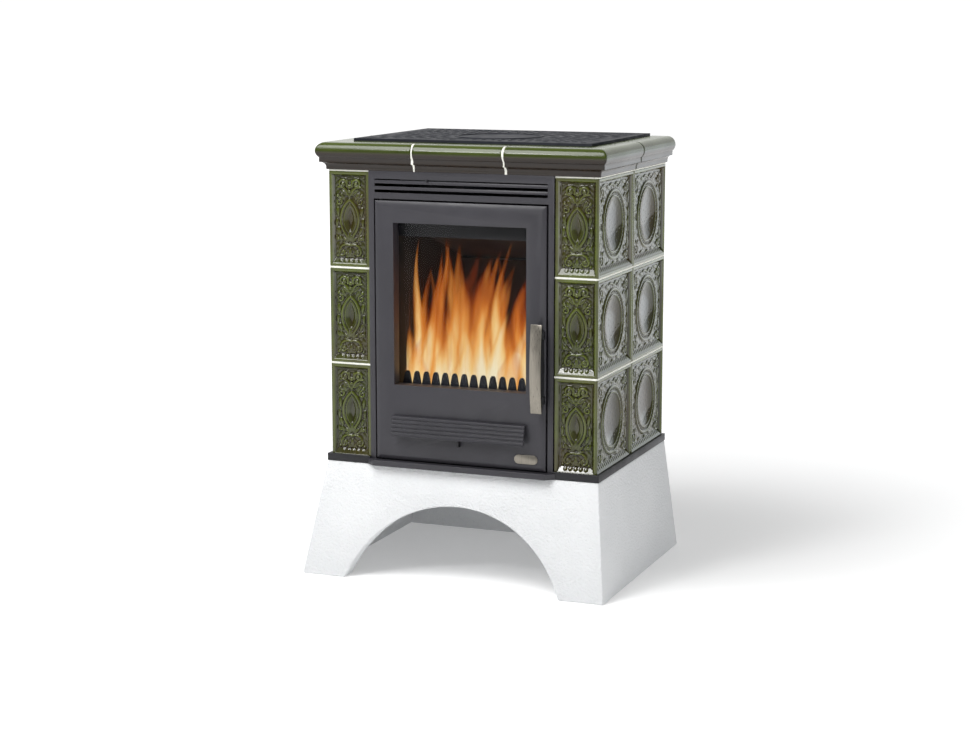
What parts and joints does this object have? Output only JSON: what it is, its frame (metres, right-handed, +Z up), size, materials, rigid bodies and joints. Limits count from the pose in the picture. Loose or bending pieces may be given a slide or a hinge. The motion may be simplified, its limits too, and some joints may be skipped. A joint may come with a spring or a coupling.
{
  "type": "wood burning stove",
  "caption": "Free-standing tiled wood-burning stove with a glazed door, a lift-off cast top grille, air slides, a rear flue spigot and an arched log niche in its plinth.",
  "frame": {"origin": "middle of the bounding box, on the floor under the plinth", "axes": "+Z up, the door faces -Y, the flue spigot points +Y, +X to the handle's side"},
  "size_m": [0.74, 0.626, 1.008],
  "materials": {
    "green_glaze": "glossy transparent glaze, darker in the hollows",
    "joint_filler": "matt",
    "plinth_render": "fine rough plaster, painted white",
    "anthracite_steel": "matt heat-proof paint",
    "black_steel": "matt heat-proof paint",
    "cast_iron": "cast, satin heat-proof paint",
    "stainless": "brushed along its length",
    "bright_steel": "zinc plated",
    "fire_glass": "clear ceramic glass",
    "firebrick": "matt, soot stained",
    "rope_seal": "braided glass fibre rope"
  },
  "bodies": {
    "stove": {"ash_lip": "anthracite_steel", "ash_pan": "bright_steel", "back_panel": "black_steel", "back_screws": "bright_steel", "baffle": "firebrick", "base_plate": "black_steel", "corner_tile_left_1": "green_glaze", "corner_tile_left_2": "green_glaze", "corner_tile_left_3": "green_glaze", "corner_tile_right_1": "green_glaze", "corner_tile_right_2": "green_glaze", "corner_tile_right_3": "green_glaze", "cornice_corner_left": "green_glaze", "cornice_corner_right": "green_glaze", "cornice_joints": "joint_filler", "cornice_middle": "green_glaze", "cornice_rear_left": "green_glaze", "cornice_rear_right": "green_glaze", "door_hinge_pins": "bright_steel", "fire_grate": "cast_iron", "firebox_front": "black_steel", "firebox_shell": "black_steel", "firebrick_back": "firebrick", "firebrick_left": "firebrick", "firebrick_right": "firebrick", "flue_blank": "cast_iron", "flue_spigot": "black_steel", "front_sheet": "anthracite_steel", "grille_rim": "black_steel", "hearth": "firebrick", "latch_keeper": "bright_steel", "log_guard": "cast_iron", "plinth": "plinth_render", "side_tile_left_1": "green_glaze", "side_tile_left_2": "green_glaze", "side_tile_left_3": "green_glaze", "side_tile_right_1": "green_glaze", "side_tile_right_2": "green_glaze", "side_tile_right_3": "green_glaze", "tile_joints_left": "joint_filler", "tile_joints_right": "joint_filler", "tile_rails": "bright_steel", "vent_slats": "anthracite_steel"},
    "door": {"door_casing": "anthracite_steel", "door_liner": "black_steel", "door_glass": "fire_glass", "glass_clips": "stainless", "air_wash_strip": "black_steel", "door_seal": "rope_seal", "handle_brackets": "black_steel", "handle_pin": "bright_steel", "air_cover": "anthracite_steel", "badge_plate": "stainless"},
    "handle": {"handle_lever": "black_steel", "handle_bar": "stainless"},
    "lower_air": {"lower_air_slider": "black_steel"},
    "upper_air": {"upper_air_slider": "stainless"},
    "grille": {"top_grille": "cast_iron"},
    "disc": {"grille_disc": "cast_iron"}
  },
  "joints": [
    {"name": "door_swing", "type": "hinge", "parent": "stove", "child": "door", "pos_m": [-0.195, -0.235, 0.573], "axis": [0, 0, -1], "range_deg": [0, 110]},
    {"name": "handle_pull", "type": "hinge", "parent": "door", "child": "handle", "pos_m": [0.2, -0.255, 0.512], "axis": [0, 0, 1], "range_deg": [0, 30]},
    {"name": "lower_air_slide", "type": "slide", "parent": "door", "child": "lower_air", "axis": [1, 0, 0], "range_m": [-0.03, 0.03]},
    {"name": "upper_air_slide", "type": "slide", "parent": "stove", "child": "upper_air", "axis": [1, 0, 0], "range_m": [-0.06, 0.06]},
    {"name": "grille_lift", "type": "slide", "parent": "stove", "child": "grille", "axis": [0, 0, 1], "range_m": [0, 0.15]},
    {"name": "disc_lift", "type": "slide", "parent": "grille", "child": "disc", "axis": [0, 0, 1], "range_m": [0, 0.1]}
  ]
}
